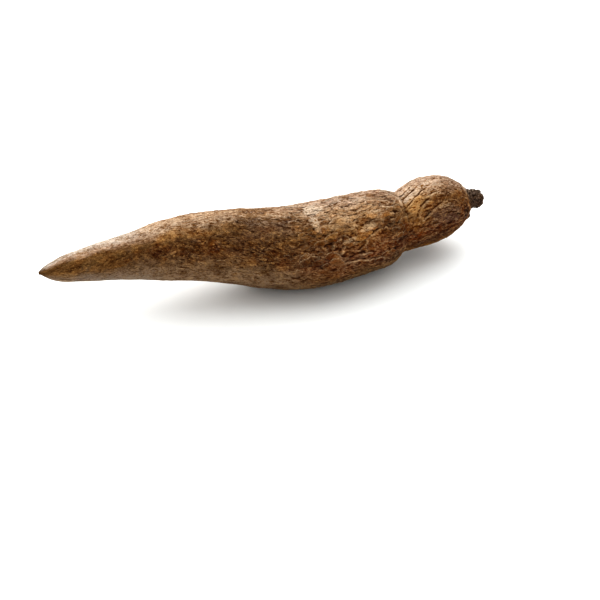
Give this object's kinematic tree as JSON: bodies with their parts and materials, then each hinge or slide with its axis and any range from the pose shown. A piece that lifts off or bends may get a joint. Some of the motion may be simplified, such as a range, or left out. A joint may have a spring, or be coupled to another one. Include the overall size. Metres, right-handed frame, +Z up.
{
  "type": "cassava root",
  "caption": "Whole cassava root with rough brown bark: a long tapering tail, a full belly, a creased round head and a short woody stub, lying on its underside.",
  "frame": {"origin": "on the surface that the root lies on, below the middle of its bounding box", "axes": "+X along the root from the tail to the woody stub, +Z up, -Y towards the side where the belly is fullest"},
  "size_m": [0.3074, 0.0732, 0.0599],
  "materials": {
    "bark": "matt, fibrous bark with a slight satin sheen"
  },
  "bodies": {
    "root": {"cassava_root": "bark"}
  },
  "joints": []
}
